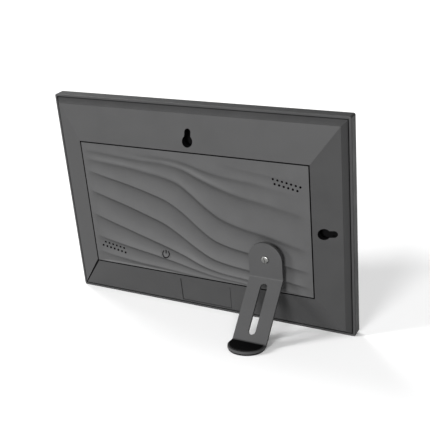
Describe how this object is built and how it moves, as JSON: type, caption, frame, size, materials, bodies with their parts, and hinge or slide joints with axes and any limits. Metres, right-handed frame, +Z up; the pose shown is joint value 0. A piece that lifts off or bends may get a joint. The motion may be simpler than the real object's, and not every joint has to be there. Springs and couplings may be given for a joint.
{
  "type": "digital photo frame",
  "caption": "Landscape digital photo frame with a wave-relief back panel, keyholes for hanging and a swivelling bent-plate rear stand.",
  "frame": {"origin": "centre of the standing frame's footprint, on the floor", "axes": "+X to the right as seen from the front, +Y from the display towards the rear stand, +Z up; the display leans back 10 degrees towards +Y"},
  "size_m": [0.26, 0.0844, 0.18],
  "materials": {
    "charcoal_plastic": "fine moulded texture, matte charcoal",
    "panel_plastic": "fine moulded texture, matte charcoal grey",
    "leg_paint": "satin powder coat, charcoal",
    "black_rubber": "matte black rubber",
    "cover_glass": "black-backed cover glass, polished",
    "display_black": "display cell, off",
    "zinc_steel": "zinc plated steel",
    "nickel": "nickel plated",
    "circuit_board": "green solder mask",
    "black_foam": "black closed-cell foam",
    "flex_copper": "amber flexible circuit film",
    "inner_plastic": "black moulded plastic"
  },
  "bodies": {
    "frame": {"front_bezel": "charcoal_plastic", "cover_glass": "cover_glass", "glass_tape": "black_foam", "lcd_panel": "display_black", "backlight_unit": "inner_plastic", "chassis_plate": "zinc_steel", "chassis_screw_1": "zinc_steel", "chassis_screw_2": "zinc_steel", "chassis_screw_3": "zinc_steel", "chassis_screw_4": "zinc_steel", "main_board": "circuit_board", "board_spacer_1": "nickel", "board_spacer_2": "nickel", "board_spacer_3": "nickel", "board_spacer_4": "nickel", "board_screw_1": "zinc_steel", "board_screw_2": "zinc_steel", "board_screw_3": "zinc_steel", "board_screw_4": "zinc_steel", "radio_shield": "nickel", "tact_switch": "inner_plastic", "usb_socket": "nickel", "card_slot": "nickel", "speaker_left": "inner_plastic", "speaker_right": "inner_plastic", "speaker_gasket_left": "black_foam", "speaker_gasket_right": "black_foam", "speaker_lead_left": "inner_plastic", "speaker_lead_right": "inner_plastic", "wifi_antenna": "flex_copper", "antenna_lead": "inner_plastic", "display_ribbon": "flex_copper", "rear_housing": "charcoal_plastic", "keyhole_cup_top": "inner_plastic", "keyhole_cup_side": "inner_plastic", "rear_panel": "panel_plastic", "pivot_spacer": "inner_plastic", "friction_washer": "zinc_steel", "pivot_plate": "zinc_steel", "pivot_nut": "zinc_steel", "pivot_screw": "nickel"},
    "stand": {"stand_leg": "leg_paint", "foot_pad": "black_rubber", "foot_sole": "black_rubber"},
    "button": {"power_button": "panel_plastic"}
  },
  "joints": [
    {"name": "stand_swivel", "type": "hinge", "parent": "frame", "child": "stand", "pos_m": [-0.0642, -0.0037, 0.06183], "axis": [0, 0.9847, -0.1745], "range_deg": [0, 90]},
    {"name": "power_press", "type": "slide", "parent": "frame", "child": "button", "axis": [0, -0.9847, 0.1745], "range_m": [0, 0.0007], "stiffness_N_per_m": 1500, "springref_m": -0.0004}
  ]
}
